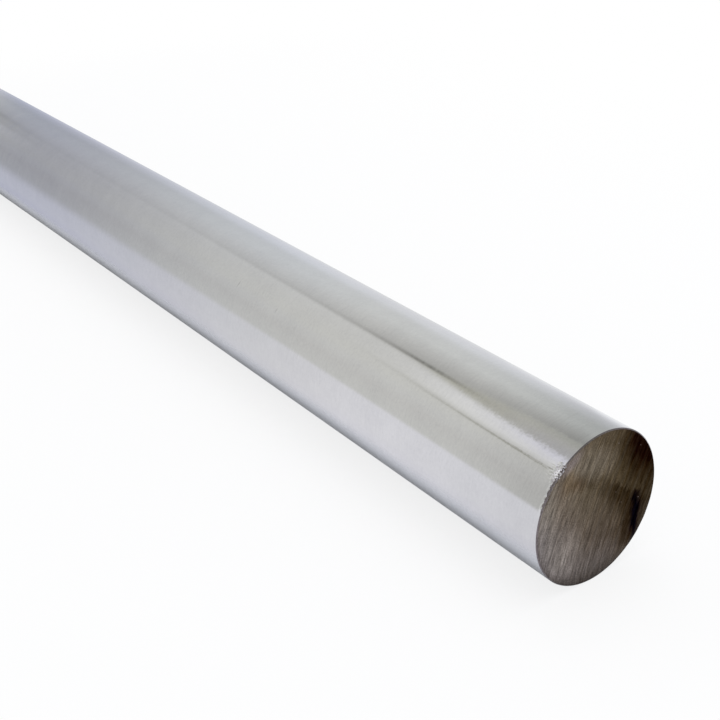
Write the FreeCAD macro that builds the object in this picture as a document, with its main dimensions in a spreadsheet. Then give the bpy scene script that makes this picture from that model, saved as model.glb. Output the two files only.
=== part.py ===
import FreeCAD, Part
import os
import Sketcher

# A ground steel shaft for linear bearings: one solid round bar, sawn to its stock length.
# Millimetres. The bar lies along X with its axis on the X axis and the origin half way along,
# +Z is up, and the sawn end that the viewer sees is the +X end.

doc = FreeCAD.newDocument("LinearShaft")

# Driving sizes, each written once: alias, value in millimetres, what it measures.
size_rows = [
    ("shaft_diameter", 25.0, "ground outside diameter, nominal size of an h6 shaft"),
    ("shaft_length", 300.0, "from one sawn end face to the other"),
    ("edge_break", 0.15, "leg of the 45 degree break that takes the saw burr off each rim"),
]

sizes = doc.addObject("Spreadsheet::Sheet", "Sizes")
for row, (alias, value, meaning) in enumerate(size_rows, start=1):
    sizes.set("A%d" % row, meaning)
    sizes.set("B%d" % row, str(value))
    sizes.setAlias("B%d" % row, alias)
doc.recompute()


def origin_plane(body, role):
    """The plane of the body's own origin that has this role."""
    for feature in body.Origin.OriginFeatures:
        if feature.Role == role:
            return feature
    raise ValueError("no origin plane " + role)


body = doc.addObject("PartDesign::Body", "Shaft")
body.Label = "shaft"

# Round section across the axis, centred on the origin of the YZ plane.
section = body.newObject("Sketcher::SketchObject", "RoundSection")
section.AttachmentSupport = [(origin_plane(body, "YZ_Plane"), "")]
section.MapMode = "FlatFace"
start_radius = sizes.shaft_diameter / 2
outline = Part.Circle(FreeCAD.Vector(0, 0, 0), FreeCAD.Vector(0, 0, 1), start_radius)
circle = section.addGeometry(outline, False)
section.addConstraint(Sketcher.Constraint("Coincident", circle, 3, -1, 1))
across = section.addConstraint(Sketcher.Constraint("Diameter", circle, 2 * start_radius))
section.renameConstraint(across, "Across")
section.setExpression("Constraints.Across", "Sizes.shaft_diameter")

# The bar, the same distance to either side of the section.
bar = body.newObject("PartDesign::Pad", "RoundBar")
bar.Profile = section
bar.Midplane = True
bar.setExpression("Length", "Sizes.shaft_length")
section.Visibility = False
doc.recompute()

# The break on both rims: every closed circular edge of the bar is the rim of a sawn end.
rims = ["Edge%d" % number for number, edge in enumerate(bar.Shape.Edges, start=1)
        if isinstance(edge.Curve, Part.Circle) and edge.isClosed()]
broken_edges = body.newObject("PartDesign::Chamfer", "EdgeBreak")
broken_edges.Base = (bar, rims)
broken_edges.ChamferType = "Equal distance"
broken_edges.setExpression("Size", "Sizes.edge_break")

body.Tip = broken_edges
body.Placement = FreeCAD.Placement(FreeCAD.Vector(0, 0, 0), FreeCAD.Rotation())
doc.recompute()

# Nothing is written unless every feature built and the solid is sound.
for item in doc.Objects:
    if "Invalid" in item.State or "Error" in item.State:
        raise RuntimeError("%s failed: %s" % (item.Name, item.State))
shape = body.Shape
if shape.isNull() or not shape.isValid() or len(shape.Solids) != 1:
    raise RuntimeError("the shaft is not one valid solid")
if len(rims) != 2 or shape.Volume >= bar.Shape.Volume:
    raise RuntimeError("the rims of the two ends were not broken")

os.makedirs("parts", exist_ok=True)
shape.exportStep(os.path.join("parts", body.Label + ".step"))
print("shaft: %.1f cubic mm, box %s" % (shape.Volume, shape.BoundBox))
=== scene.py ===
import math

import bpy
import numpy as np
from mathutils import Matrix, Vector


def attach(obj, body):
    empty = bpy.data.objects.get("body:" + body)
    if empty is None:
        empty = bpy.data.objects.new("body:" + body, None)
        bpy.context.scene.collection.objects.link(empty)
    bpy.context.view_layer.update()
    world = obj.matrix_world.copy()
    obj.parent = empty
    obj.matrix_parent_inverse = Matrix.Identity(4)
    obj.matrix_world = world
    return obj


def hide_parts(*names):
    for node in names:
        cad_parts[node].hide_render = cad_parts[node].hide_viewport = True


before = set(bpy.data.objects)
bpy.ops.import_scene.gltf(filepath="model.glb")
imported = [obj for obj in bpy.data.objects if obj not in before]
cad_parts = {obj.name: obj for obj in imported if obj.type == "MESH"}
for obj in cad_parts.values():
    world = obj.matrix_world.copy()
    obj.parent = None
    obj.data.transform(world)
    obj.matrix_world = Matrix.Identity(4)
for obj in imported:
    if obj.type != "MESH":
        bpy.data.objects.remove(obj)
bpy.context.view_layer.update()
print("frame loaded:", sorted(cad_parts))


def hexToLinear(code):
    # sRGB hex to the linear colour that sockets take
    parts = [int(code[i:i + 2], 16) / 255 for i in (1, 3, 5)]
    return tuple(p / 12.92 if p <= 0.04045 else ((p + 0.055) / 1.055) ** 2.4 for p in parts) + (1.0,)


def addNode(tree, kind, settings, sockets):
    # adds one node; a socket takes a number, a colour, a node (its first live output) or one of a node's
    # outputs
    node = tree.nodes.new(kind)
    for name, value in settings.items():
        setattr(node, name, value)
    for key, value in sockets.items():
        if isinstance(value, bpy.types.Node):
            value = next(output for output in value.outputs if output.enabled)
        if isinstance(value, bpy.types.NodeSocket):
            tree.links.new(value, node.inputs[key])
        else:
            node.inputs[key].default_value = value
    return node


def setRamp(node, stops):
    # puts (place, colour) pairs on a colour ramp
    band = node.color_ramp
    while len(band.elements) < len(stops):
        band.elements.new(0.5)
    for element, (at, colour) in zip(band.elements, stops):
        element.position, element.color = at, (*colour, 1.0)


def newMaterial(name):
    material = bpy.data.materials.new(name)
    material.use_nodes = True
    material.node_tree.nodes.clear()
    return material, material.node_tree


def insideSpot(tree, place, centre, turn, half, edge, amount):
    # a soft oval spot: how far out a point lies in the spot's own half sizes, taken from edge[0], where the
    # spot starts, to edge[1], where it has its full amount
    at = addNode(tree, "ShaderNodeMapping", {"vector_type": "TEXTURE"}, {
        "Vector": place, "Location": centre, "Rotation": (math.radians(turn), 0, 0), "Scale": half})
    out = addNode(tree, "ShaderNodeVectorMath", {"operation": "LENGTH"}, {0: at})
    return addNode(tree, "ShaderNodeMapRange", {}, {"Value": out, 1: edge[0], 2: edge[1], 4: amount})


# the shaft: a ground bar along X with its axis at z = 0. Lengths are in metres where no note says mm, and
# angles in degrees from the far side over the top
shaft = {
    "radius": 0.0125,
    "length": 0.300,
    "edgeBreak": 0.00015,            # leg of the break on both rims
    "edgeSoft": 0.00003,             # how far the rows beside each corner of the break stand from it
    "rimRag": 0.000015,              # how far the filed rim wanders
    "ragWaves": (1.9, 4.0, 9.0),     # mm
    "rows": {"face": 34, "break": 5, "barrel": 25},
    "byRim": (0.08, 0.17, 0.27, 0.38, 0.5, 0.64, 0.8, 1.0, 1.25, 1.6),      # mm, more rows beside the rim
    "barrelFrom": 0.0025,            # where the barrel's even rows start, from the rim
    "columns": {"even": 520, "atBurr": 90},
    "cut": {
        "sawCentre": (0.100, -0.038),        # y and z of the saw's axis, off the far side of the bar
        "lean": (-0.000254, -0.000400),      # the shown cut is 2 degrees off square: lean out at +Y and +Z
        "chatterDepth": 0.000012,            # the blade's slow chatter
        "chatter": ((1.9, 1.0, 0.0), (1.13, 0.6, 0.8)),      # its waves: length in mm, share, phase
        "stepDepth": 0.00006,                # step where the cuts from the far and the near side meet
        "stepLine": (4.3, 2.0, 0.78),        # y and z of a point on that line in mm, and how steeply it falls
        "stepWidth": 0.18,                   # mm
        "fade": 0.05,                        # share of the radius over which all this dies out at the rim
        "middleDepth": 0.00003,              # of the point that closes the face
    },
    "burr": {                        # torn metal on the shown rim
        "angle": 133.5,
        "spread": 6.5,
        "overFace": 0.00036,         # how far it spreads from the rim, over the face and over the barrel
        "overBarrel": 0.0009,
        "height": 0.00022,
        "lumps": (0.34, 0.5, 0.8),   # mm
        "fill": 0.15,                # raises the lumps, so that they cover a little more than half
        "tornWaves": (0.5, 0.9),     # mm, in the outline of what takes the rim's bare finish
        "tornRag": 0.8,              # how ragged that outline is
        "tornFrom": 0.33,            # share of torn metal at which it starts
    },
    # smaller torn beads, which go on along the rim below the burr
    "beads": {"angle": 148.5, "spread": 13.0, "share": 0.62, "reach": 0.00024},
    "seeds": {"rag": 4, "lumps": 21, "torn": 8},
}


def smoothNoise(points, waves, seed):
    # a sum of sines with random directions and phases, about -1 to 1, for points and wave lengths in mm
    pick = np.random.default_rng(seed)
    total = np.zeros(points.shape[:-1])
    for length in waves:
        for _ in range(3):
            way = pick.normal(size=points.shape[-1])
            way /= np.linalg.norm(way)
            total += np.sin(points @ way * 2 * np.pi / length + pick.uniform(0, 2 * np.pi))
    return total / (1.5 * len(waves))


def cutLean(y, z):
    # how far the shown cut stands out from a square one, in metres: a tilted plane through the axis
    leanY, leanZ = shaft["cut"]["lean"]
    return (leanY * y + leanZ * z) / shaft["radius"]


def cutRelief(y, z):
    # depth of the sawn face in metres, never above the flat: sines of the distance from the saw's axis, and
    # a smooth step down across the line where the two cuts meet, both gone at the rim
    cut = shaft["cut"]
    sawY, sawZ = cut["sawCentre"]
    fromSaw = np.hypot(y - sawY, z - sawZ) * 1000
    waves = highest = 0
    for length, share, phase in cut["chatter"]:
        waves = waves + share * np.sin(fromSaw * 2 * np.pi / length + phase)
        highest = highest + share
    lineY, lineZ, fall = cut["stepLine"]
    aboveLine = (z * 1000 - lineZ) + fall * (y * 1000 - lineY)
    lower = 1 / (1 + np.exp(np.clip(aboveLine / cut["stepWidth"], -40, 40)))
    depth = -cut["chatterDepth"] * (highest - waves) - cut["stepDepth"] * lower
    inside = 1 - np.hypot(y, z) / (shaft["radius"] - shaft["edgeBreak"])
    return depth * np.clip(inside / cut["fade"], 0, 1)


def shaftRows():
    # the rows run from the middle of the +X end, over its rim, along the barrel and back to the middle of
    # the -X end; each has its x, its radius, its finish (0 ground barrel, 1 broken rim, 2 sawn end) and
    # whether it leans
    r, half, leg, soft = shaft["radius"], shaft["length"] / 2, shaft["edgeBreak"], shaft["edgeSoft"]
    rows, byRim = shaft["rows"], np.array(shaft["byRim"]) / 1000
    flat, start = r - leg, half - leg
    rings = np.linspace(0.02, 0.85, rows["face"]) ** 0.9 * flat      # a little closer towards the rim
    rings = np.concatenate([rings, (flat - byRim)[::-1]])
    slope = np.linspace(0.1, 0.9, rows["break"])
    endR = np.concatenate([rings, [flat - soft, flat], flat + slope * leg, [r, r], np.full(len(byRim), r)])
    endX = np.concatenate([np.full(len(rings), half), [half, half - soft / 3], half - slope * leg,
                           [start + soft / 3, start - soft], start - byRim])
    endFinish = np.repeat([2, 1, 0], [len(rings) + 1, len(slope) + 2, len(byRim) + 1])
    reach = start - shaft["barrelFrom"]
    along = np.linspace(reach, -reach, rows["barrel"])
    rowX = np.concatenate([endX, along, -endX[::-1]])
    rowR = np.concatenate([endR, np.full(len(along), r), endR[::-1]])
    finish = np.concatenate([endFinish, np.zeros(len(along), int), endFinish[::-1]])
    return rowX, rowR, finish, np.arange(len(rowX)) < len(endX)


def shaftAngles():
    # the columns' angles: even, but packed together at the burr; the seam is underneath
    burr, columns = shaft["burr"], shaft["columns"]
    even = np.arange(columns["even"]) * 360 / columns["even"] - 90
    reach = 1.6 * burr["spread"]         # as far as the burr's bell goes
    packed = burr["angle"] + np.linspace(-reach, reach, columns["atBurr"])
    kept = even[np.abs(even - burr["angle"]) > reach + 0.4]     # over half an even step from the packed
    return np.sort(np.concatenate([kept, packed]))


def shaftPoints(rowX, rowR, finish, leans, degrees):
    # a point is (x, radius * cos, radius * sin) of its row and its column's angle, with the wander of the
    # filed rim, the torn metal, the relief of both cuts and the lean of the shown one. Also says where the
    # metal is torn
    angle, burr, beads, seeds = np.radians(degrees), shaft["burr"], shaft["beads"], shaft["seeds"]
    ground, rim, face = ((finish == number)[:, None] for number in (0, 1, 2))
    x = np.repeat(rowX[:, None], len(angle), 1)
    radius = np.repeat(rowR[:, None], len(angle), 1)
    circle = np.stack([np.cos(angle), np.sin(angle)], -1) * shaft["radius"] * 1000
    rag = np.abs(smoothNoise(circle, shaft["ragWaves"], seeds["rag"]) * shaft["rimRag"])
    radius = radius - rim * rag
    x = x - rim * np.sign(x) * rag * 0.5         # half as much along the bar

    # distance from the rim in metres: above zero over the face, below zero over the barrel
    overFace = np.clip(shaft["radius"] - shaft["edgeBreak"] - rowR, 0, None)[:, None]
    overBarrel = np.clip(shaft["length"] / 2 - shaft["edgeBreak"] - np.abs(rowX), 0, None)[:, None]
    fromRim = overFace - overBarrel * ground
    # how much torn metal: a flat-topped bell of the angle times a bell of that distance, at the shown end
    onBurr = np.exp(-((degrees - burr["angle"]) / burr["spread"]) ** 4)
    onBeads = np.exp(-((degrees - beads["angle"]) / beads["spread"]) ** 4) * beads["share"]
    share = onBurr * np.exp(-(fromRim / np.where(fromRim < 0, burr["overBarrel"], burr["overFace"])) ** 2)
    share = np.maximum(share, onBeads * np.exp(-(fromRim / beads["reach"]) ** 2)) * (rowX > 0)[:, None]
    roundBar, inward = angle * shaft["radius"] * 1000, fromRim * 1000 + rim * 0.1       # mm
    spot = np.stack(np.broadcast_arrays(roundBar, inward), -1)
    lumps = np.clip(smoothNoise(spot, burr["lumps"], seeds["lumps"]) + burr["fill"], 0, None)
    lumps = lumps * share * burr["height"]
    ragged = 1 + burr["tornRag"] * smoothNoise(spot, burr["tornWaves"], seeds["torn"])
    torn = share * ragged > burr["tornFrom"]

    radius = radius + lumps * (1 - face)
    y, z = radius * np.cos(angle), radius * np.sin(angle)
    x = np.where(face, x + np.sign(x) * cutRelief(y, z) + lumps, x + lumps * rim)
    x = x + leans[:, None] * cutLean(y, z)
    return np.stack([x, y, z], -1).reshape(-1, 3), torn


def closedGrid(rows, columns):
    # four-sided faces between neighbouring rows and columns, closed round the axis, and a fan of triangles
    # at each end, whose middle points come after those of the grid
    i, j = np.meshgrid(np.arange(rows - 1), np.arange(columns), indexing="ij")
    k = (j + 1) % columns
    quads = np.stack([i * columns + j, (i + 1) * columns + j, (i + 1) * columns + k, i * columns + k], -1)
    here = np.arange(columns)
    after = (here + 1) % columns
    last = (rows - 1) * columns
    shownFan = np.stack([np.full(columns, rows * columns), here, after], -1)
    farFan = np.stack([np.full(columns, rows * columns + 1), last + after, last + here], -1)
    return quads.reshape(-1, 4), np.concatenate([shownFan, farFan])


def bakeLayout(at, onBarrel, nextColumn):
    # the barrel unrolled across the upper half of the square, and the disc of an end in each lower quarter,
    # all with a narrow margin
    turn = (np.arctan2(at[:, 2], at[:, 1]) + np.pi / 2) / (2 * np.pi) % 1.0
    turn = np.where(nextColumn & (turn < 1e-6), 1.0, turn)       # closes the unrolled barrel at its seam
    disc = 0.235 / shaft["radius"]
    middle = np.where(at[:, 0] > 0, 0.25, 0.75)
    u = np.where(onBarrel, 0.01 + 0.98 * (at[:, 0] / shaft["length"] + 0.5), middle + at[:, 1] * disc)
    v = np.where(onBarrel, 0.51 + 0.48 * turn, 0.25 + at[:, 2] * disc)
    return np.stack([u, v], -1).astype(np.float32)


def buildShaft():
    rowX, rowR, rowFinish, leans = shaftRows()
    degrees = shaftAngles()
    points, torn = shaftPoints(rowX, rowR, rowFinish, leans, degrees)
    inset = shaft["cut"]["middleDepth"]
    points = np.concatenate([points, [[rowX[0] - inset, 0, 0], [rowX[-1] + inset, 0, 0]]])
    quads, fans = closedGrid(len(rowX), len(degrees))
    loops = np.concatenate([quads.ravel(), fans.ravel()])
    sizes = np.repeat([4, 3], [len(quads), len(fans)])
    # a face is sawn or filed where either of its rows is, and bare like the rim where both are torn
    finish = np.maximum(rowFinish[:-1], rowFinish[1:])[:, None]
    finish = np.where(torn[:-1] & torn[1:], 1, finish).ravel()
    finish = np.concatenate([finish, np.full(len(fans), 2)])

    mesh = bpy.data.meshes.new("shaftBar")
    mesh.vertices.add(len(points))
    mesh.vertices.foreach_set("co", points.ravel())
    mesh.loops.add(len(loops))
    mesh.loops.foreach_set("vertex_index", loops)
    mesh.polygons.add(len(sizes))
    mesh.polygons.foreach_set("loop_start", np.cumsum(sizes) - sizes)
    mesh.polygons.foreach_set("loop_total", sizes)
    mesh.polygons.foreach_set("material_index", finish.astype(np.int32))
    mesh.polygons.foreach_set("use_smooth", np.ones(len(sizes), bool))
    mesh.update(calc_edges=True)
    mesh.validate()
    layer = mesh.uv_layers.new(name="OFBake")
    nextColumn = np.concatenate([np.tile([False, False, True, True], len(quads)), np.zeros(fans.size, bool)])
    uv = bakeLayout(points[loops], np.repeat(finish, sizes) == 0, nextColumn)
    layer.data.foreach_set("uv", uv.ravel())
    piece = bpy.data.objects.new("shaftBar", mesh)
    bpy.context.scene.collection.objects.link(piece)
    print("shaft:", len(sizes), "faces,", int((sizes - 2).sum()), "triangles")
    return piece


# finish of the barrel. A place is how far it lies from the shown end in bar radii, and its height in
# degrees up from level on the near side
barrel = {
    "tones": ("#C4C5C6", "#D0D1D1"),
    "toneBetween": (0.95, 2.05),     # the sum of three patterns that gives the one and the other
    "roughness": (0.075, 0.125),
    "roughBetween": (0.3, 0.7),      # the pattern of lines that gives the one and the other
    "patterns": {                    # mm along the bar and round it
        "lines": (0.45, 9.0),        # grinding lines; the real ones are 0.05 mm apart, too fine to show
        "hairs": (0.24, 1.6),        # short broken lines between them
        "mottle": (0.45, 0.45),      # grain of the plating
        "cloud": (6.0, 6.0),         # patches where the plating is a touch duller
    },
    "lineDepth": 0.000003,           # metres
    "brushed": 0.5,                  # from 0 to 1, how far the lines draw the blur out along the bar
    "scuffed": {                     # where lines lean, beside the burr; half sizes in bar radii
        "place": (0.55, 62), "half": (1.3, 0.34), "edge": (1.1, 0.3), "lean": 0.11},
    "markTone": "#4A4844",
    "markEdge": (1.2, 0.1),          # where a mark starts and is full, in its half sizes
    "marks": [                       # from handling: place, half sizes along and round the bar, amount
        (5.58, 40.5, 0.16, 0.50, 0.20), (6.64, 43.0, 0.14, 0.75, 0.27), (6.2, 83.0, 0.18, 0.5, 0.10),
        (5.05, 36.0, 0.3, 0.5, 0.05), (8.05, 6.0, 0.8, 0.9, 0.05), (3.55, 38.0, 0.25, 0.4, 0.05)],
}


def onBarrel(fromEnd, height):
    # the point of the barrel at a distance from the shown end, in radii, and a height in degrees
    r, turn = shaft["radius"], math.radians(height)
    return shaft["length"] / 2 - fromEnd * r, -r * math.cos(turn), r * math.sin(turn)


def hardChrome():
    # ground steel under thin hard chrome: a cool grey mirror, blurred along the bar by the lines round it
    material, tree = newMaterial("groundHardChrome")
    place = addNode(tree, "ShaderNodeTexCoord", {}, {}).outputs["Object"]
    noises = {}
    for name, (along, around) in barrel["patterns"].items():
        at = addNode(tree, "ShaderNodeVectorMath", {"operation": "MULTIPLY"}, {
            0: place, 1: (1000 / along, 1000 / around, 1000 / around)})
        noises[name] = addNode(tree, "ShaderNodeTexNoise", {"label": name}, {
            "Vector": at, "Scale": 1.0, "Detail": 3.0, "Roughness": 0.6})
    # tone: mostly the fine grain, with the cloudy patches in it
    grain = addNode(tree, "ShaderNodeMath", {"operation": "ADD"}, {0: noises["hairs"], 1: noises["mottle"]})
    tone = addNode(tree, "ShaderNodeMath", {"operation": "ADD"}, {0: grain, 1: noises["cloud"]})
    (dark, pale), (first, last) = barrel["tones"], barrel["toneBetween"]
    share = addNode(tree, "ShaderNodeMapRange", {}, {"Value": tone, 1: first, 2: last})
    colour = addNode(tree, "ShaderNodeMix", {"data_type": "RGBA"}, {
        "Factor": share, "A": hexToLinear(dark), "B": hexToLinear(pale)})
    # small marks from handling: dull specks drawn out round the bar
    for fromEnd, height, along, around, amount in barrel["marks"]:
        half = (along / 1000, around / 1000, around / 1000)
        inside = insideSpot(tree, place, onBarrel(fromEnd, height), 0, half, barrel["markEdge"], amount)
        colour = addNode(tree, "ShaderNodeMix", {"data_type": "RGBA"}, {
            "Factor": inside, "A": colour, "B": hexToLinear(barrel["markTone"])})
    (smooth, rough), (first, last) = barrel["roughness"], barrel["roughBetween"]
    dull = addNode(tree, "ShaderNodeMapRange", {}, {
        "Value": noises["lines"], 1: first, 2: last, 3: smooth, 4: rough})
    # beside the burr the fine lines lean a little either way, which frays the edges of the reflections
    scuffed = barrel["scuffed"]
    along, around = (size * shaft["radius"] for size in scuffed["half"])
    middle, half = onBarrel(*scuffed["place"]), (along, around, around)
    inside = insideSpot(tree, place, middle, 0, half, scuffed["edge"], 1.0)
    lean = addNode(tree, "ShaderNodeMapRange", {}, {
        "Value": noises["mottle"], 3: -scuffed["lean"] / 2, 4: scuffed["lean"] / 2})
    leanHere = addNode(tree, "ShaderNodeMath", {"operation": "MULTIPLY"}, {0: lean, 1: inside})
    lay = addNode(tree, "ShaderNodeTangent", {"direction_type": "RADIAL", "axis": "X"}, {})
    aside = addNode(tree, "ShaderNodeVectorMath", {"operation": "SCALE"}, {0: lay, "Scale": leanHere})
    upright = addNode(tree, "ShaderNodeNewGeometry", {}, {}).outputs["Normal"]
    leaning = addNode(tree, "ShaderNodeVectorMath", {"operation": "ADD"}, {0: upright, 1: aside})
    facing = addNode(tree, "ShaderNodeVectorMath", {"operation": "NORMALIZE"}, {0: leaning})
    bump = addNode(tree, "ShaderNodeBump", {}, {
        "Strength": 1.0, "Distance": barrel["lineDepth"], "Height": noises["lines"], "Normal": facing})
    # the quarter turn makes the blur run along the bar
    metal = addNode(tree, "ShaderNodeBsdfPrincipled", {}, {
        "Base Color": colour, "Metallic": 1.0, "Roughness": dull, "Anisotropic": barrel["brushed"],
        "Anisotropic Rotation": 0.25, "Tangent": lay, "Normal": bump})
    addNode(tree, "ShaderNodeOutputMaterial", {}, {"Surface": metal})
    return material


# finish of the broken rims and of the torn metal, in metres
filed = {
    "tones": ("#544D4E", "#928B8B"),
    "roughness": 0.28,
    "grain": 0.0003125,              # size of the file's scratches
    "grainDepth": 0.00003,
    "bright": "#F7F7FA",             # painted glints on flecks of torn metal
    "fleckBetween": (0.46, 0.56),    # chance at which a fleck starts and is full
    "fleckReach": (0.0019, 0.0006),  # distance from the burr's middle where flecks start and are all there
    "edgeReach": 0.0005,             # how far back from the face the chance rises
    "edgeChance": (-0.05, 0.13),
}


def filedRim():
    # bare steel where a file broke the rim: a dark thin line, with near-white flecks where torn metal is
    # left, painted glints
    material, tree = newMaterial("filedSteelRim")
    place = addNode(tree, "ShaderNodeTexCoord", {}, {}).outputs["Object"]
    specks = addNode(tree, "ShaderNodeTexNoise", {}, {
        "Vector": place, "Scale": 1 / filed["grain"], "Detail": 2.0, "Roughness": 0.6})
    turn = math.radians(shaft["burr"]["angle"])
    burrY, burrZ = shaft["radius"] * math.cos(turn), shaft["radius"] * math.sin(turn)
    rimX = shaft["length"] / 2 + cutLean(burrY, burrZ)
    away = addNode(tree, "ShaderNodeVectorMath", {"operation": "DISTANCE"}, {
        0: place, 1: (rimX, burrY, burrZ)})
    outer, inner = filed["fleckReach"]
    torn = addNode(tree, "ShaderNodeMapRange", {}, {"Value": away, 1: outer, 2: inner})
    lengthwise = addNode(tree, "ShaderNodeSeparateXYZ", {}, {0: place})
    least, most = filed["edgeChance"]
    fromFace = addNode(tree, "ShaderNodeMapRange", {}, {
        "Value": lengthwise, 1: rimX, 2: rimX - filed["edgeReach"], 3: least, 4: most})
    chance = addNode(tree, "ShaderNodeMath", {"operation": "ADD"}, {0: specks, 1: fromFace})
    first, last = filed["fleckBetween"]
    fleck = addNode(tree, "ShaderNodeMapRange", {}, {"Value": chance, 1: first, 2: last})
    # the flecks' near-white tone is a painted glint on the torn metal
    bright = addNode(tree, "ShaderNodeMath", {"operation": "MULTIPLY"}, {0: torn, 1: fleck})
    dark, pale = filed["tones"]
    plain = addNode(tree, "ShaderNodeMix", {"data_type": "RGBA"}, {
        "Factor": specks, "A": hexToLinear(dark), "B": hexToLinear(pale)})
    colour = addNode(tree, "ShaderNodeMix", {"data_type": "RGBA"}, {
        "Factor": bright, "A": plain, "B": hexToLinear(filed["bright"])})
    bump = addNode(tree, "ShaderNodeBump", {}, {
        "Strength": 1.0, "Distance": filed["grainDepth"], "Height": specks})
    metal = addNode(tree, "ShaderNodeBsdfPrincipled", {}, {
        "Base Color": colour, "Metallic": 1.0, "Roughness": filed["roughness"], "Normal": bump})
    addNode(tree, "ShaderNodeOutputMaterial", {}, {"Surface": metal})
    return material


# finish of the sawn ends, in mm on the face: y runs from the near side to the far side, z is up. A mark has
# its centre, turn in degrees, half sizes, where it starts and is full (1 is its outline), tone and amount
sawnFace = {
    "across": [                      # clean tone at each y, lighter towards the near side: the steel's own brown-grey with a painted reflection in it
        (-11.5, "#8D8684"), (-9.5, "#837B76"), (-7.5, "#796F68"), (-5.0, "#72685F"), (-2.5, "#6B6156"),
        (0.0, "#645A4F"), (2.5, "#5C5247"), (5.0, "#554B3F"), (7.5, "#4A4136"), (10.5, "#423A30")],
    "cool": (0.98, 1.0, 1.13),       # tint low on the face
    "warm": (1.0, 0.99, 0.90),       # tint high on the face
    "warmBetween": (-8.0, 4.0),      # z of the one and the other
    "roughness": 0.3,
    "glancing": "#A89F94",           # tint of the metal seen at a glancing angle, duller than clean steel
    "arcRadius": 107.0,              # mean distance of the face from the saw's axis
    "endsApart": 1.7,                # step in the patterns per mm of x, so that the two ends differ
    "scratches": {                   # size across and along the saw's arcs, and the contrast that each adds
        "bands": (1.4, 12.0, 0.46),
        "hairs": (0.30, 1.8, 0.90),
        "grain": (0.17, 0.22, 0.90),
        "long": (0.42, 9.0, 0.74)},
    "scratchDepth": 0.00001,         # metres
    "fray": 3.2,                     # how far the edges of the stains wander along the scratches
    "frayScale": (1.5, 0.35, 0.3),   # waves of that per mm: across the arcs, along them, along x
    "ridge": ((6.8, 5.2), -38, (9.0, 4.0), (1.05, 0.93)),      # clean side of the step between the cuts
    "stains": {                      # oil film and other marks, on the shown end alone; some carry painted reflection and painted shade
        "rubbed": ((-7.6, -6.2), 20, (4.6, 5.8), (1.25, 0.2), "#99928C", 0.60),
        "grey": ((-2.0, 7.9), -15, (5.6, 2.8), (1.25, 0.3), "#857D72", 0.42),
        "straw": ((-6.8, 6.6), 20, (2.0, 2.0), (1.3, 0.2), "#67553A", 0.50),
        "dusk": ((-7.9, 5.8), 10, (1.9, 3.2), (1.25, 0.2), "#5A5048", 0.42),
        "rust": ((-4.6, 5.8), -30, (2.0, 1.2), (1.3, 0.2), "#4A3522", 0.46),
        "smudge": ((-2.4, 5.3), -35, (2.8, 1.2), (1.2, 0.3), "#3B3024", 0.34),
        "low": ((-1.0, -10.8), 0, (7.0, 4.4), (1.2, 0.2), "#837C77", 0.56),
        # painted shade below the step between the cuts
        "underRidge": ((5.0, 0.3), -38, (6.2, 2.3), (1.25, 0.35), "#1E150C", 0.52),
        # oil film high on the far side, darkened further as a painted dark reflection
        "pool": ((12.3, 8.8), 0, (8.5, 7.6), (1.15, 0.60), "#221815", 1.0),
        "seep": ((7.3, -5.8), 12, (2.2, 5.0), (1.15, 0.4), "#1A1009", 0.46),
        "blueFringe": ((9.3, -3.7), 8, (1.1, 2.6), (1.2, 0.4), "#15141C", 0.62),
        "blueBlack": ((8.65, -4.8), 3, (0.92, 6.2), (1.32, 0.46), "#11111B", 0.97)},
    "offRidge": ("underRidge", "blueBlack"),     # stains that stop at the clean side
    "wander": 0.25,                  # share of the fray that the edges of these three take
    "bruise": ((-6.3, 9.7), 33, (2.4, 0.95), (1.35, 0.35), "#918789", 0.52),      # beside the burr
    # these two lie outside their outlines, on both ends
    "rimFilm": ((0.0, 0.0), 0, (12.3, 12.3), (0.975, 1.0), "#3A3434", 0.18),
    "lowShade": ((0.6, 1.6), 0, (12.4, 12.4), (1.03, 1.13), "#38322F", 0.55),
    "swarfGlints": {                       # specks of swarf painted bright as glints; size and choice are in parts of a cell of the pattern
        "every": 1.5, "size": (0.075, 0.03), "chosen": (0.62, 0.9), "most": 0.75, "tone": "#A39490"},
}


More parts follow.
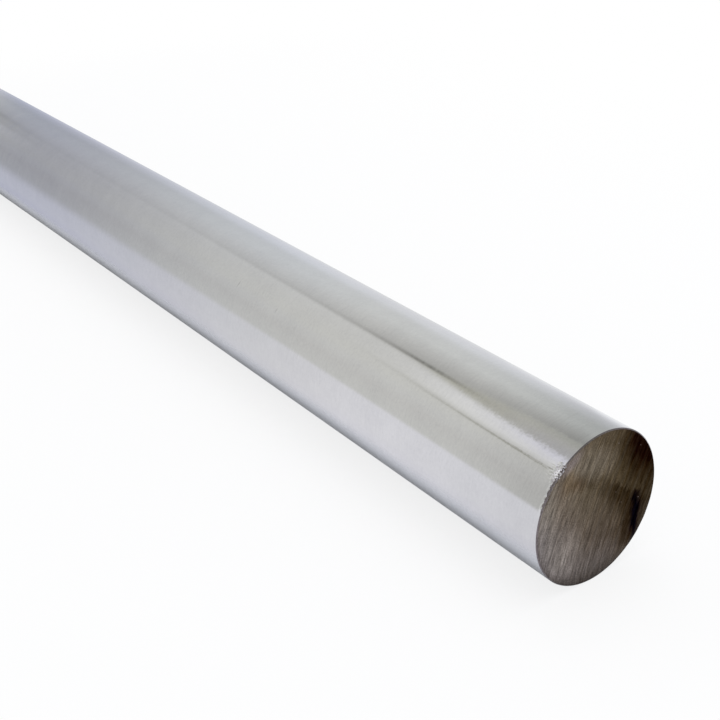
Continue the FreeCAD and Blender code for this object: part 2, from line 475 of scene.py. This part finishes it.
def sawnSteel():
    # steel cut by a cold saw and left oily: brown-grey, with arcs of fine scratches about the saw's axis,
    # dark film in patches, and painted reflection and painted shade in its tone
    material, tree = newMaterial("oilySawnSteel")
    place = addNode(tree, "ShaderNodeTexCoord", {}, {}).outputs["Object"]
    # every pattern is laid on the square plane of its own end, so the lean of the cut doesn't slice it
    placeX, placeY, placeZ = addNode(tree, "ShaderNodeSeparateXYZ", {}, {0: place}).outputs
    whichEnd = addNode(tree, "ShaderNodeMath", {"operation": "SIGN"}, {0: placeX})
    endX = addNode(tree, "ShaderNodeMath", {"operation": "MULTIPLY"}, {0: whichEnd, 1: shaft["length"] / 2})
    onEnd = addNode(tree, "ShaderNodeCombineXYZ", {}, {0: endX, 1: placeY, 2: placeZ})
    # arcs: how far from the saw's axis, how far along the arc, and x, all in mm
    sawY, sawZ = shaft["cut"]["sawCentre"]
    away = addNode(tree, "ShaderNodeVectorMath", {"operation": "MULTIPLY_ADD"}, {
        0: onEnd, 1: (1000, 1000, 1000), 2: (0, -1000 * sawY, -1000 * sawZ)})
    awayX, awayY, awayZ = addNode(tree, "ShaderNodeSeparateXYZ", {}, {0: away}).outputs
    flat = addNode(tree, "ShaderNodeCombineXYZ", {}, {1: awayY, 2: awayZ})
    fromSaw = addNode(tree, "ShaderNodeVectorMath", {"operation": "LENGTH"}, {0: flat})
    sweep = addNode(tree, "ShaderNodeMath", {"operation": "ARCTAN2"}, {0: awayZ, 1: awayY})
    along = addNode(tree, "ShaderNodeMath", {"operation": "MULTIPLY"}, {0: sweep, 1: sawnFace["arcRadius"]})
    arcs = addNode(tree, "ShaderNodeCombineXYZ", {}, {0: fromSaw, 1: along, 2: awayX})
    # scratches of four kinds, each a noise drawn out along the arcs
    shade, noises = 1.0, {}
    for name, (across, length, contrast) in sawnFace["scratches"].items():
        at = addNode(tree, "ShaderNodeVectorMath", {"operation": "MULTIPLY"}, {
            0: arcs, 1: (1 / across, 1 / length, sawnFace["endsApart"])})
        noises[name] = addNode(tree, "ShaderNodeTexNoise", {"label": name}, {
            "Vector": at, "Scale": 1.0, "Detail": 3.0, "Roughness": 0.55})
        lit = addNode(tree, "ShaderNodeMapRange", {}, {
            "Value": noises[name], 3: 1 - contrast, 4: 1 + contrast})
        shade = addNode(tree, "ShaderNodeMath", {"operation": "MULTIPLY"}, {0: shade, 1: lit})
    # clean tone: the steel's brown-grey, painted lighter towards the near side and darker towards the far
    # side as a painted reflection, and warmer towards the top
    r = shaft["radius"]
    side = addNode(tree, "ShaderNodeMapRange", {}, {"Value": placeY, 1: -r, 2: r})
    across = addNode(tree, "ShaderNodeValToRGB", {}, {0: side})
    setRamp(across, [(at / (2000 * r) + 0.5, hexToLinear(tone)[:3]) for at, tone in sawnFace["across"]])
    low, high = (z / 1000 for z in sawnFace["warmBetween"])
    raised = addNode(tree, "ShaderNodeMapRange", {}, {"Value": placeZ, 1: low, 2: high})
    hue = addNode(tree, "ShaderNodeMix", {"data_type": "VECTOR"}, {
        "Factor": raised, "A": sawnFace["cool"], "B": sawnFace["warm"]})
    colour = addNode(tree, "ShaderNodeVectorMath", {"operation": "MULTIPLY"}, {0: across, 1: hue})
    # places on the face in mm: less half the fray, plain, frayed by a noise along the arcs, and little frayed
    fray = sawnFace["fray"]
    at = addNode(tree, "ShaderNodeVectorMath", {"operation": "MULTIPLY"}, {0: arcs, 1: sawnFace["frayScale"]})
    wander = addNode(tree, "ShaderNodeTexNoise", {}, {
        "Vector": at, "Scale": 1.0, "Detail": 4.0, "Roughness": 0.6}).outputs["Color"]
    lessFray = addNode(tree, "ShaderNodeVectorMath", {"operation": "MULTIPLY_ADD"}, {
        0: onEnd, 1: (1000, 1000, 1000), 2: (-500 * shaft["length"], -fray / 2, -fray / 2)})
    plain = addNode(tree, "ShaderNodeVectorMath", {"operation": "ADD"}, {
        0: lessFray, 1: (0, fray / 2, fray / 2)})
    frayed = addNode(tree, "ShaderNodeVectorMath", {"operation": "MULTIPLY_ADD"}, {
        0: wander, 1: (0, fray, fray), 2: lessFray})
    steady = addNode(tree, "ShaderNodeMix", {"data_type": "VECTOR"}, {
        "Factor": sawnFace["wander"], "A": plain, "B": frayed})
    shownEnd, bothEnds = 1.0, 100000.0       # mm that a mark reaches from the shown end along the bar

    def markShare(spread, deep, centre, turn, half, edge, amount):
        return insideSpot(tree, spread, (0, *centre), turn, (deep, *half), edge, amount)

    cleanSide = markShare(frayed, shownEnd, *sawnFace["ridge"], 1.0)
    oilySide = addNode(tree, "ShaderNodeMath", {"operation": "SUBTRACT"}, {0: 1.0, 1: cleanSide})
    for name, (*where, tone, amount) in sawnFace["stains"].items():
        share = markShare(frayed, shownEnd, *where, amount)
        if name in sawnFace["offRidge"]:
            share = addNode(tree, "ShaderNodeMath", {"operation": "MULTIPLY"}, {0: share, 1: oilySide})
        colour = addNode(tree, "ShaderNodeMix", {"data_type": "RGBA", "label": name}, {
            "Factor": share, "A": colour, "B": hexToLinear(tone)})
    for name, deep in (("bruise", shownEnd), ("rimFilm", bothEnds), ("lowShade", bothEnds)):
        *where, tone, amount = sawnFace[name]
        share = markShare(steady, deep, *where, amount)
        colour = addNode(tree, "ShaderNodeMix", {"data_type": "RGBA", "label": name}, {
            "Factor": share, "A": colour, "B": hexToLinear(tone)})
    # a few specks of swarf in the film, painted near-white as glints
    swarfGlints = sawnFace["swarfGlints"]
    cells = addNode(tree, "ShaderNodeTexVoronoi", {}, {"Vector": onEnd, "Scale": 1000 / swarfGlints["every"]})
    outer, inner = swarfGlints["size"]
    speck = addNode(tree, "ShaderNodeMapRange", {}, {"Value": cells, 1: outer, 2: inner})
    pick = addNode(tree, "ShaderNodeSeparateColor", {}, {0: cells.outputs["Color"]})
    first, last = swarfGlints["chosen"]
    few = addNode(tree, "ShaderNodeMapRange", {}, {"Value": pick, 1: first, 2: last, 4: swarfGlints["most"]})
    share = addNode(tree, "ShaderNodeMath", {"operation": "MULTIPLY"}, {0: speck, 1: few})
    colour = addNode(tree, "ShaderNodeMix", {"data_type": "RGBA"}, {
        "Factor": share, "A": colour, "B": hexToLinear(swarfGlints["tone"])})
    scratched = addNode(tree, "ShaderNodeVectorMath", {"operation": "SCALE"}, {0: colour, "Scale": shade})
    bump = addNode(tree, "ShaderNodeBump", {}, {
        "Strength": 1.0, "Distance": sawnFace["scratchDepth"], "Height": noises["hairs"]})
    metal = addNode(tree, "ShaderNodeBsdfPrincipled", {}, {
        "Base Color": scratched, "Metallic": 1.0, "Roughness": sawnFace["roughness"],
        "Specular Tint": hexToLinear(sawnFace["glancing"]), "Normal": bump})
    addNode(tree, "ShaderNodeOutputMaterial", {}, {"Surface": metal})
    return material


bar = buildShaft()
for made in (hardChrome(), filedRim(), sawnSteel()):
    bar.data.materials.append(made)
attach(bar, "root")
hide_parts("shaft")
print("finishes made:", [m.name for m in bar.data.materials])


# a wide pale floor that the bar lies on, as white as the backdrop to the eye, with the bar's shadow kept.
# Distances on it are in metres from the line under the bar
floor = {
    "half": 6.0,                     # metres from its middle to an edge
    "colour": "#F4F5F8",
    "pastEnd": 3.0,                  # a distance beyond the bar's ends counts this many times
    "glow": (0.8, 1.0),              # share of plain white that the eye sees over the lit floor, near and far
    "glowReach": (0.03, 0.25),       # the distances of the one and the other
    "mirrorReach": (0.0105, 0.0175),     # where the metal stops seeing the floor and sees the world's paper
    "mirrorShare": 0.25,             # share of plain tone in the floor that the metal sees
    "mirrorColour": (0.93, 0.975, 1.13, 1.0),
    "mirrorShadowStrength": (0.28, 1.25),  # strength of that tone, near and far: a painted shadow close to the bar
    "mirrorBeside": (0.0080, 0.0120),    # the distances of the one and the other
    "mirrorFarDim": 0.66,               # share of it that is left at the bar's middle: painted dimming along the bar
}


def buildFloor():
    side = floor["half"]
    corners = [(-side, -side), (side, -side), (side, side), (-side, side)]
    mesh = bpy.data.meshes.new("studioFloor")
    mesh.from_pydata([(x, y, -shaft["radius"]) for x, y in corners], [], [(0, 1, 2, 3)])
    material, tree = newMaterial("paleStudioFloor")
    rays = addNode(tree, "ShaderNodeLightPath", {}, {}).outputs
    place = addNode(tree, "ShaderNodeTexCoord", {}, {}).outputs["Object"]
    placeX, placeY, _ = addNode(tree, "ShaderNodeSeparateXYZ", {}, {0: place}).outputs
    endX = shaft["length"] / 2
    fromMiddle = addNode(tree, "ShaderNodeMath", {"operation": "ABSOLUTE"}, {0: placeX})
    beyond = addNode(tree, "ShaderNodeMapRange", {"clamp": False}, {
        "Value": fromMiddle, 1: endX, 2: endX + 1, 4: floor["pastEnd"]})
    past = addNode(tree, "ShaderNodeMath", {"operation": "MAXIMUM"}, {0: beyond, 1: 0.0})
    aside = addNode(tree, "ShaderNodeCombineXYZ", {}, {0: past, 1: placeY})
    away = addNode(tree, "ShaderNodeVectorMath", {"operation": "LENGTH"}, {0: aside})
    # to the eye: white, and beside the bar a share of the lit floor with the bar's shadow
    lit = addNode(tree, "ShaderNodeBsdfDiffuse", {}, {"Color": hexToLinear(floor["colour"])})
    white = addNode(tree, "ShaderNodeEmission", {}, {"Color": (1, 1, 1, 1), "Strength": 1.0})
    (dim, full), (first, last) = floor["glow"], floor["glowReach"]
    whiter = addNode(tree, "ShaderNodeMapRange", {"interpolation_type": "SMOOTHSTEP"}, {
        "Value": away, 1: first, 2: last, 3: dim, 4: full})
    seen = addNode(tree, "ShaderNodeMath", {"operation": "MULTIPLY"}, {0: rays["Is Camera Ray"], 1: whiter})
    paper = addNode(tree, "ShaderNodeMixShader", {}, {0: seen, 1: lit, 2: white})
    # to the metal: the lit floor and its shadow close to the bar, with a painted shadow in its pale tone
    # close to the bar and painted dimming towards the bar's middle, and the world's paper farther out
    (dark, light), (first, last) = floor["mirrorShadowStrength"], floor["mirrorBeside"]
    beside = addNode(tree, "ShaderNodeMapRange", {}, {"Value": away, 1: first, 2: last, 3: dark, 4: light})
    dimAlongBar = addNode(tree, "ShaderNodeMapRange", {}, {
        "Value": placeX, 1: endX, 2: 0.0, 3: 1.0, 4: floor["mirrorFarDim"]})
    tone = addNode(tree, "ShaderNodeMath", {"operation": "MULTIPLY"}, {0: beside, 1: dimAlongBar})
    pale = addNode(tree, "ShaderNodeEmission", {}, {"Color": floor["mirrorColour"], "Strength": tone})
    near = addNode(tree, "ShaderNodeMixShader", {}, {0: floor["mirrorShare"], 1: lit, 2: pale})
    clear = addNode(tree, "ShaderNodeBsdfTransparent", {}, {})
    first, last = floor["mirrorReach"]
    out = addNode(tree, "ShaderNodeMapRange", {"interpolation_type": "SMOOTHSTEP"}, {
        "Value": away, 1: first, 2: last})
    mirrored = addNode(tree, "ShaderNodeMixShader", {}, {0: out, 1: near, 2: clear})
    mixed = addNode(tree, "ShaderNodeMixShader", {}, {0: rays["Is Glossy Ray"], 1: paper, 2: mirrored})
    addNode(tree, "ShaderNodeOutputMaterial", {}, {"Surface": mixed})
    mesh.materials.append(material)
    piece = bpy.data.objects.new("studioFloor", mesh)
    bpy.context.scene.collection.objects.link(piece)


# the studio that the polished barrel mirrors. Height is in degrees round the bar: 0 is level on the near
# side, 90 is overhead, 180 is level on the far side. Reach is how far from the shown end, in bar radii,
# that part of the studio shows on the barrel in the main view
studio = {
    "ambient": 0.72,                 # the world's plain level, which lights the floor
    "reachFromSlope": (-11.0, -7.455),       # reach = first x slope along the bar + second
    "farthest": 18.0,                # reach at which the ramps end
    "horizon": -0.5,                 # height at which the dome starts to turn into paper on the near side
    "paperFrom": [(5.0, -7.0), (14.0, -32.0)],       # (reach, height) where it is all paper: softer far along
    "dome": [                        # colour at each height
        (0, (0.86, 0.852, 0.824)), (22, (0.828, 0.813, 0.788)), (37, (0.874, 0.863, 0.838)),
        (50, (0.896, 0.883, 0.842)), (75, (0.89, 0.877, 0.848)), (110, (0.94, 0.93, 0.907)),
        (126, (0.915, 0.915, 0.897)), (140, (0.88, 0.885, 0.872)), (152, (0.866, 0.871, 0.87)),
        (168, (0.927, 0.938, 0.97)), (184, (0.893, 0.898, 0.94)), (198, (0.85, 0.856, 0.88)),
        (212, (0.778, 0.786, 0.802)), (224, (0.69, 0.698, 0.715))],
    "fall": [                        # what the dome is multiplied by at each reach
        (0.2, (0.79, 0.79, 0.79)), (0.5, (0.85, 0.85, 0.85)), (0.9, (0.945, 0.945, 0.945)),
        (1.4, (1.0, 1.0, 1.0)), (4.2, (0.985, 0.985, 0.985)), (5.5, (0.955, 0.958, 0.965)),
        (8.0, (0.868, 0.878, 0.905)), (10.0, (0.756, 0.768, 0.815)), (12.0, (0.648, 0.66, 0.728)),
        (14.0, (0.59, 0.605, 0.69)), (16.3, (0.535, 0.56, 0.65)), (18.0, (0.84, 0.84, 0.85))],
    "paper": [                       # colour at each reach
        (0.2, (0.97, 0.96, 1.01)), (0.9, (1.02, 1.01, 1.06)), (2.0, (1.06, 1.045, 1.095)),
        (3.4, (1.05, 1.035, 1.08)), (4.5, (0.99, 0.975, 1.01)), (6.0, (0.935, 0.93, 0.965)),
        (8.0, (0.85, 0.845, 0.915)), (10.0, (0.785, 0.79, 0.87)), (12.0, (0.72, 0.73, 0.84)),
        (16.3, (0.634, 0.651, 0.776)), (18.0, (0.93, 0.93, 0.95))],
    # bands that tint the dome: stops are (reach, lower edge, upper edge, amount), heights in degrees; soft
    # is half the width over which each edge fades; tint is what the amount adds to red, green and blue
    "bands": {
        # the dome is a little darker by the shown end
        "dimEnd": {"tint": (-1, -0.88, -0.95), "soft": (4, 14), "stops": [
            (0.0, 96, 160, 0.12), (0.5, 96, 160, 0.055), (0.9, 96, 163, 0.05), (1.6, 96, 165, 0.025),
            (2.3, 96, 165, 0.0)]},
        # the backdrop low on the far side is bright by the shown end
        "endGlow": {"tint": (1, 1, 1), "soft": (15, 5), "stops": [
            (0.0, 184, 250, 0.49), (0.15, 184, 250, 0.33), (1.0, 184, 250, 0.12), (1.6, 184, 250, 0.02),
            (2.2, 184, 250, 0.0)]},
        # shade on the far side of the gap
        "shade": {"tint": (-1, -1.01, -1.04), "soft": (3, 20), "stops": [
            (0.0, 105, 112, 0.62), (0.5, 104, 112, 0.5), (0.9, 102, 112, 0.46), (1.3, 99, 112, 0.45),
            (1.7, 95.5, 112, 0.38), (2.1, 91.5, 112, 0.37), (2.5, 89, 112, 0.35), (2.9, 88, 112, 0.32),
            (3.4, 87.5, 112, 0.27), (4.2, 87, 112, 0.19), (5.5, 87, 112, 0.15), (8.0, 87, 112, 0.075),
            (12.0, 87, 112, 0.035), (16.3, 87, 112, 0.02), (18.0, 98, 118, 0.45)]},
        # the long dark gap overhead, which narrows to a line
        "gap": {"tint": (-1, -1.02, -1.27), "soft": (5, 3), "stops": [
            (0.0, 76, 105, 0.17), (0.5, 76.5, 104, 0.18), (0.9, 78, 102, 0.235), (1.3, 79.5, 99, 0.28),
            (1.7, 81, 95.5, 0.305), (2.1, 83.5, 91.5, 0.33), (2.45, 87, 88.5, 0.33), (2.7, 88, 88, 0.0),
            (16.3, 76, 104, 0.0), (18.0, 76, 104, 0.26)]},
        # the line that the gap ends in
        "tip": {"tint": (-1, -1.0, -1.03), "soft": (2, 2), "stops": [
            (1.6, 89.5, 93.5, 0.0), (2.1, 89.5, 93.5, 0.24), (2.5, 88.5, 93.5, 0.86), (2.9, 89, 93.5, 0.4),
            (3.4, 89.5, 93.5, 0.18), (4.2, 89.5, 93.5, 0.09), (5.5, 89.5, 93.5, 0.06),
            (9.0, 89.5, 93.5, 0.02)]},
        # bright strip on the near side of the gap
        "strip": {"tint": (1, 1, 1.15), "soft": (4.5, 4), "stops": [
            (0.0, 55.5, 74, 0.37), (0.5, 56, 74.5, 0.31), (0.9, 57, 76, 0.26), (1.3, 57.5, 77.5, 0.2),
            (1.7, 59, 79, 0.19), (2.1, 60.5, 80.5, 0.16), (2.5, 62, 82, 0.12), (2.8, 64, 83, 0.0),
            (16.3, 56, 76, 0.0), (18.0, 56, 76, 0.2)]},
        # cold tone between strip and gap
        "coldEdge": {"tint": (0, 0, 1), "soft": (10, 8), "stops": [
            (0.0, 64, 92, 0.1), (0.6, 65, 92, 0.1), (1.0, 66, 90, 0.03), (1.5, 67, 88, 0.0)]},
        # thin dark line below the strip
        "seam": {"tint": (-1, -1, -1.1), "soft": (0.6, 0.6), "stops": [
            (0.2, 49.9, 51.6, 0.62), (0.9, 51.1, 52.8, 0.58), (1.3, 51.7, 53.4, 0.58),
            (1.7, 52.7, 54.8, 0.42), (2.1, 53.4, 56.6, 0.22), (2.5, 54.4, 58.2, 0.14),
            (2.9, 56.5, 61.0, 0.1), (3.5, 58, 62, 0.03), (4.0, 58, 62, 0.0)]},
        # the dome is cooler far along
        "coolFar": {"tint": (0, 0.3, 1), "soft": (30, 30), "stops": [
            (3.5, 95, 190, 0.0), (6.0, 95, 190, 0.055), (8.0, 95, 190, 0.035), (10.0, 95, 185, 0.02),
            (12.0, 90, 150, 0.025), (14.0, 90, 150, 0.04), (18.0, 90, 150, 0.0)]},
        # and a touch darker on the far side
        "farHollow": {"tint": (-1, -1, -1), "soft": (12, 10), "stops": [
            (5.0, 148, 188, 0.0), (7.0, 148, 188, 0.035), (9.0, 148, 188, 0.05), (16.3, 148, 188, 0.05),
            (18.0, 148, 188, 0.0)]},
        # and brighter below that
        "farGlow": {"tint": (1, 1, 1), "soft": (12, 5), "stops": [
            (6.0, 182, 250, 0.0), (8.5, 182, 250, 0.0), (12.0, 182, 250, 0.14), (16.3, 182, 250, 0.14),
            (18.0, 182, 250, 0.0)]},
        # the paper is darker right under the bar
        "lowDim": {"tint": (-1, -0.98, -0.65), "soft": (0.5, 14), "stops": [
            (0.0, -90, -62, 0.1), (5.0, -90, -62, 0.08), (14.0, -90, -62, 0.13)]},
    },
}


def heightShare(degrees):
    # a height's place on a ramp: 0 is straight down, 0.25 level on the near side, 0.5 overhead
    return (degrees + 90) / 360


def buildWorld():
    # white to the camera, even to the floor; to the metal a pale room: a dome that dims behind the far end,
    # white paper below, a long dark gap overhead that narrows to a line, and a bright strip beside it
    world = bpy.data.worlds.new("studioDome")
    bpy.context.scene.world = world
    world.use_nodes = True
    tree = world.node_tree
    tree.nodes.clear()
    rays = addNode(tree, "ShaderNodeLightPath", {}, {}).outputs
    way = addNode(tree, "ShaderNodeTexCoord", {}, {}).outputs["Generated"]
    wayX, wayY, wayZ = addNode(tree, "ShaderNodeSeparateXYZ", {}, {0: way}).outputs
    towards = addNode(tree, "ShaderNodeMath", {"operation": "MULTIPLY"}, {0: wayY, 1: -1.0})
    turn = addNode(tree, "ShaderNodeMath", {"operation": "ARCTAN2"}, {0: wayZ, 1: towards})
    upward = addNode(tree, "ShaderNodeMath", {"operation": "WRAP"}, {
        0: turn, 1: 1.5 * math.pi, 2: -0.5 * math.pi})
    height = addNode(tree, "ShaderNodeMath", {"operation": "MULTIPLY_ADD"}, {
        0: upward, 1: 0.5 / math.pi, 2: heightShare(0)})
    across = addNode(tree, "ShaderNodeCombineXYZ", {}, {1: wayY, 2: wayZ})
    side = addNode(tree, "ShaderNodeVectorMath", {"operation": "LENGTH"}, {0: across})
    slope = addNode(tree, "ShaderNodeMath", {"operation": "DIVIDE"}, {0: wayX, 1: side})
    far = studio["farthest"]
    gain, start = studio["reachFromSlope"]
    reach = addNode(tree, "ShaderNodeMath", {"operation": "MULTIPLY_ADD"}, {
        0: slope, 1: gain / far, 2: start / far})

    dome = addNode(tree, "ShaderNodeValToRGB", {"label": "dome"}, {0: height})
    setRamp(dome, [(heightShare(at), colour) for at, colour in studio["dome"]])
    fall = addNode(tree, "ShaderNodeValToRGB", {"label": "fall"}, {0: reach})
    setRamp(fall, [(at / far, colour) for at, colour in studio["fall"]])
    paper = addNode(tree, "ShaderNodeValToRGB", {"label": "paper"}, {0: reach})
    setRamp(paper, [(at / far, colour) for at, colour in studio["paper"]])
    above = addNode(tree, "ShaderNodeVectorMath", {"operation": "MULTIPLY"}, {0: dome, 1: fall})
    (nearAt, nearPaper), (farAt, farPaper) = studio["paperFrom"]
    paperEdge = addNode(tree, "ShaderNodeMapRange", {}, {
        "Value": reach, 1: nearAt / far, 2: farAt / far, 3: heightShare(nearPaper), 4: heightShare(farPaper)})
    below = addNode(tree, "ShaderNodeMapRange", {"interpolation_type": "SMOOTHSTEP"}, {
        "Value": height, 1: paperEdge, 2: heightShare(studio["horizon"]), 3: 1.0, 4: 0.0})
    room = addNode(tree, "ShaderNodeMix", {"data_type": "RGBA"}, {"Factor": below, "A": above, "B": paper})

    for name, band in studio["bands"].items():
        ramp = addNode(tree, "ShaderNodeValToRGB", {"label": name}, {0: reach})
        setRamp(ramp, [(at / far, (heightShare(low), heightShare(high), amount))
                       for at, low, high, amount in band["stops"]])
        lower, upper, most = addNode(tree, "ShaderNodeSeparateColor", {}, {0: ramp}).outputs
        over = addNode(tree, "ShaderNodeMath", {"operation": "SUBTRACT"}, {0: height, 1: lower})
        under = addNode(tree, "ShaderNodeMath", {"operation": "SUBTRACT"}, {0: upper, 1: height})
        softLow, softHigh = (width / 360 for width in band["soft"])
        rise = addNode(tree, "ShaderNodeMapRange", {"interpolation_type": "SMOOTHSTEP"}, {
            "Value": over, 1: -softLow, 2: softLow})
        drop = addNode(tree, "ShaderNodeMapRange", {}, {"Value": under, 1: -softHigh, 2: softHigh})
        inside = addNode(tree, "ShaderNodeMath", {"operation": "MULTIPLY"}, {0: rise, 1: drop})
        amount = addNode(tree, "ShaderNodeMath", {"operation": "MULTIPLY"}, {0: inside, 1: most})
        change = addNode(tree, "ShaderNodeVectorMath", {"operation": "MULTIPLY_ADD"}, {
            0: amount, 1: band["tint"], 2: (1, 1, 1)})
        room = addNode(tree, "ShaderNodeVectorMath", {"operation": "MULTIPLY"}, {0: room, 1: change})
    plain = addNode(tree, "ShaderNodeMix", {"data_type": "RGBA"}, {
        "Factor": rays["Is Glossy Ray"], "A": (studio["ambient"],) * 3 + (1,), "B": room})
    seen = addNode(tree, "ShaderNodeMix", {"data_type": "RGBA"}, {
        "Factor": rays["Is Camera Ray"], "A": plain, "B": (1, 1, 1, 1)})
    glow = addNode(tree, "ShaderNodeBackground", {}, {"Color": seen, "Strength": 1.0})
    addNode(tree, "ShaderNodeOutputWorld", {}, {"Surface": glow})


# one large softbox above, in metres and watts
softbox = {
    "size": (1.0, 0.8),
    "energy": 3.4,
    "place": (0.10, 0.12, 0.85),
}


def buildLamp():
    # the metal mirrors the dome instead, so the softbox draws no hard square on the barrel
    data = bpy.data.lights.new("softbox", "AREA")
    data.shape = "RECTANGLE"
    data.size, data.size_y = softbox["size"]
    data.energy = softbox["energy"]
    lamp = bpy.data.objects.new("softbox", data)
    lamp.location = softbox["place"]
    lamp.rotation_mode = "QUATERNION"
    lamp.rotation_quaternion = (-Vector(softbox["place"])).to_track_quat("-Z", "Y")
    lamp.visible_glossy = False
    bpy.context.scene.collection.objects.link(lamp)


# where the camera stands, from the axis point of the +X end, in bar radii
cameraPlace = {
    "offset": (7.4874, -9.028, 7.846),
    "look": (-0.7111, 0.5314, -0.4604),
    "lens": 59.4,                    # mm, as the sensor
    "sensor": 36.0,
    "clip": (0.01, 50.0),            # metres
}


def buildCamera():
    data = bpy.data.cameras.new("productView")
    data.lens, data.sensor_width = cameraPlace["lens"], cameraPlace["sensor"]
    data.clip_start, data.clip_end = cameraPlace["clip"]
    camera = bpy.data.objects.new("productView", data)
    ahead, aside, up = (step * shaft["radius"] for step in cameraPlace["offset"])
    camera.location = (shaft["length"] / 2 + ahead, aside, up)
    camera.rotation_mode = "QUATERNION"
    camera.rotation_quaternion = Vector(cameraPlace["look"]).to_track_quat("-Z", "Y")
    bpy.context.scene.collection.objects.link(camera)
    bpy.context.scene.camera = camera


buildFloor()
buildWorld()
buildLamp()
buildCamera()
bpy.context.scene.view_settings.view_transform = "Standard"
print("studio and camera placed")
